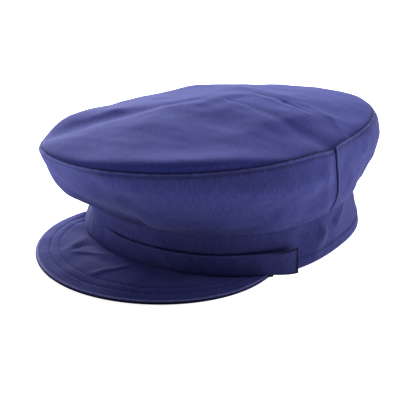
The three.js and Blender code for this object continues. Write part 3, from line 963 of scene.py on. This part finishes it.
# The floor, the backdrop and the lights are in metres. The camera is placed in millimetres, as the cap is.
FLOOR_SIZE = 8.0
BACKDROP_RADIUS = 3.8
BACKDROP_HEIGHT = 3.0
BACKDROP_SIDES = 64
BACKDROP_GLOW = 1.0
STAGE_TONE = 0.92
SEEN_FLOOR_HEIGHT = -0.0004
SEEN_FLOOR_GLOW = 0.95
BOUNCE_FLOOR_HEIGHT = -0.0002
BOUNCE_FLOOR_TONE = 0.3
BOUNCE_FLOOR_GLOW = 1.15
SHADE_PLACE = (0.0, -0.12, 0)
SHADE_REACH = (0.04, 0.26)
CAMERA = dict(azimuth=40.84, elevation=21.16, distance=677.3, aim_height=45, aim_right=-18.8, aim_up=-28.3)
CAMERA_ROLL = 0.41
FOCAL_PIXELS = 961
IMAGE_PIXELS = 400
SENSOR = 36
CLIP_START = 0.01
SOFTBOXES = [
    dict(name="left", place=(-0.91, -0.78, 0.45), size=1.0, power=3.6, aim=(0, 0, 0)),
    dict(name="left_high", place=(-1.15, 0.3, 0.8), size=1.0, power=2, aim=(0, 0, 0)),
    dict(name="left_low", place=(-1.15, 0.5, 0.3), size=0.6, power=13.4, aim=(0, 0, 0)),
    dict(name="back", place=(-0.78, 0.91, 0.8), size=1.0, power=15.8, aim=(0, 0, 0)),
    dict(name="back_right", place=(0.5, 1.07, 0.6), size=0.9, power=5.8, aim=(0, 0, 0)),
    dict(name="right_low", place=(0.91, 0.78, 0.25), size=0.5, power=2.2, aim=(0, 0, 0)),
    dict(name="bounce_left", place=(-0.25, -0.27, 0.004), size=0.3, power=1.4, aim=(-0.25, -0.27, 1)),
]
WORLD_STRENGTH = 0.02


def pale_stage(name, corners, faces, tone, glow):
    """A plain surface of the studio that glows, so that it stays even."""
    material = bpy.data.materials.new(name)
    material.use_nodes = True
    shader = material.node_tree.nodes["Principled BSDF"]
    shader.inputs["Base Color"].default_value = (tone, tone, tone, 1)
    shader.inputs["Roughness"].default_value = 0.9
    shader.inputs["Specular IOR Level"].default_value = 0
    shader.inputs["Emission Color"].default_value = (1, 1, 1, 1)
    shader.inputs["Emission Strength"].default_value = glow
    surface = new_object(name, np.array(corners, float), faces, material)
    return surface


def pale_floor(name, height, tone, glow):
    """A square floor under the cap."""
    half = FLOOR_SIZE / 2
    corners = [(-half, -half, height), (half, -half, height), (half, half, height), (-half, half, height)]
    return pale_stage(name, corners, [(0, 1, 2, 3)], tone, glow)


def shade_floor(floor, glow, place, reach):
    """Dims the floor's glow round a place, where the cap would shade a real table."""
    tree = floor.data.materials[0].node_tree
    where = tree.nodes.new("ShaderNodeTexCoord")
    distance = tree.nodes.new("ShaderNodeVectorMath")
    distance.operation = "DISTANCE"
    distance.inputs[1].default_value = place
    link(tree, where, "Object", distance, 0)
    lit = tree.nodes.new("ShaderNodeMapRange")
    lit.interpolation_type = "SMOOTHSTEP"
    lit.inputs["From Min"].default_value = reach[0]
    lit.inputs["From Max"].default_value = reach[1]
    lit.inputs["To Max"].default_value = glow
    tree.links.new(distance.outputs["Value"], lit.inputs["Value"])
    link(tree, lit, "Result", tree.nodes["Principled BSDF"], "Emission Strength")


def pale_backdrop(name, tone, glow):
    """An upright round wall, far behind the lights."""
    corners = []
    for side in range(BACKDROP_SIDES):
        turn = 2 * math.pi * side / BACKDROP_SIDES
        x, y = BACKDROP_RADIUS * math.cos(turn), BACKDROP_RADIUS * math.sin(turn)
        corners += [(x, y, -BACKDROP_HEIGHT), (x, y, BACKDROP_HEIGHT)]
    faces = []
    for side in range(BACKDROP_SIDES):
        low = 2 * side
        following = 2 * ((side + 1) % BACKDROP_SIDES)
        faces.append((low, low + 1, following + 1, following))
    return pale_stage(name, corners, faces, tone, glow)


def only_seen(surface):
    """Hides a surface from everything but the camera."""
    surface.visible_diffuse = False
    surface.visible_glossy = False
    surface.visible_shadow = False


def softbox(name, place, size, power, aim):
    """A square area light that the camera doesn't see."""
    lamp = bpy.data.lights.new(name, "AREA")
    lamp.size = size
    lamp.energy = power
    holder = bpy.data.objects.new(name, lamp)
    holder.location = place
    holder.rotation_euler = (Vector(aim) - Vector(place)).to_track_quat("-Z", "Y").to_euler()
    holder.visible_camera = False
    bpy.context.scene.collection.objects.link(holder)


def studio_world():
    """A faint even light from all sides."""
    world = bpy.data.worlds.new("studio")
    world.use_nodes = True
    world.node_tree.nodes["Background"].inputs["Color"].default_value = (1, 1, 1, 1)
    world.node_tree.nodes["Background"].inputs["Strength"].default_value = WORLD_STRENGTH
    bpy.context.scene.world = world


def photo_camera():
    """The camera, at the angle and distance that were fitted to the photograph."""
    turn = math.radians(CAMERA["azimuth"])
    rise = math.radians(CAMERA["elevation"])
    roll = math.radians(CAMERA_ROLL)
    back = Vector((math.sin(turn) * math.cos(rise), -math.cos(turn) * math.cos(rise), math.sin(rise)))
    right = Vector((math.cos(turn), math.sin(turn), 0))
    up = back.cross(right)
    aim = Vector((0, 0, CAMERA["aim_height"])) + right * CAMERA["aim_right"] + up * CAMERA["aim_up"]
    place = (aim + back * CAMERA["distance"] + Vector(HEAD_CENTRE)) * MM
    rolled_right = right * math.cos(roll) + up * math.sin(roll)
    rolled_up = up * math.cos(roll) - right * math.sin(roll)
    lens = bpy.data.cameras.new("photo_camera")
    lens.sensor_width = SENSOR
    lens.lens = FOCAL_PIXELS / IMAGE_PIXELS * SENSOR
    lens.clip_start = CLIP_START
    camera = bpy.data.objects.new("photo_camera", lens)
    turned = Matrix((rolled_right, rolled_up, back)).transposed().to_4x4()
    camera.matrix_world = Matrix.Translation(place) @ turned
    bpy.context.scene.collection.objects.link(camera)
    bpy.context.scene.camera = camera


# The white floor and backdrop are there for the camera alone. A second floor just above the first, which
# the camera doesn't see, throws light up at the cap.
only_seen(pale_floor("floor", SEEN_FLOOR_HEIGHT, STAGE_TONE, SEEN_FLOOR_GLOW))
only_seen(pale_backdrop("backdrop", STAGE_TONE, BACKDROP_GLOW))
bounce_floor = pale_floor("floor_bounce", BOUNCE_FLOOR_HEIGHT, BOUNCE_FLOOR_TONE, BOUNCE_FLOOR_GLOW)
shade_floor(bounce_floor, BOUNCE_FLOOR_GLOW, SHADE_PLACE, SHADE_REACH)
bounce_floor.visible_camera = False
bounce_floor.visible_shadow = False
for box in SOFTBOXES:
    softbox(**box)
studio_world()
photo_camera()
bpy.context.scene.view_settings.view_transform = "Standard"
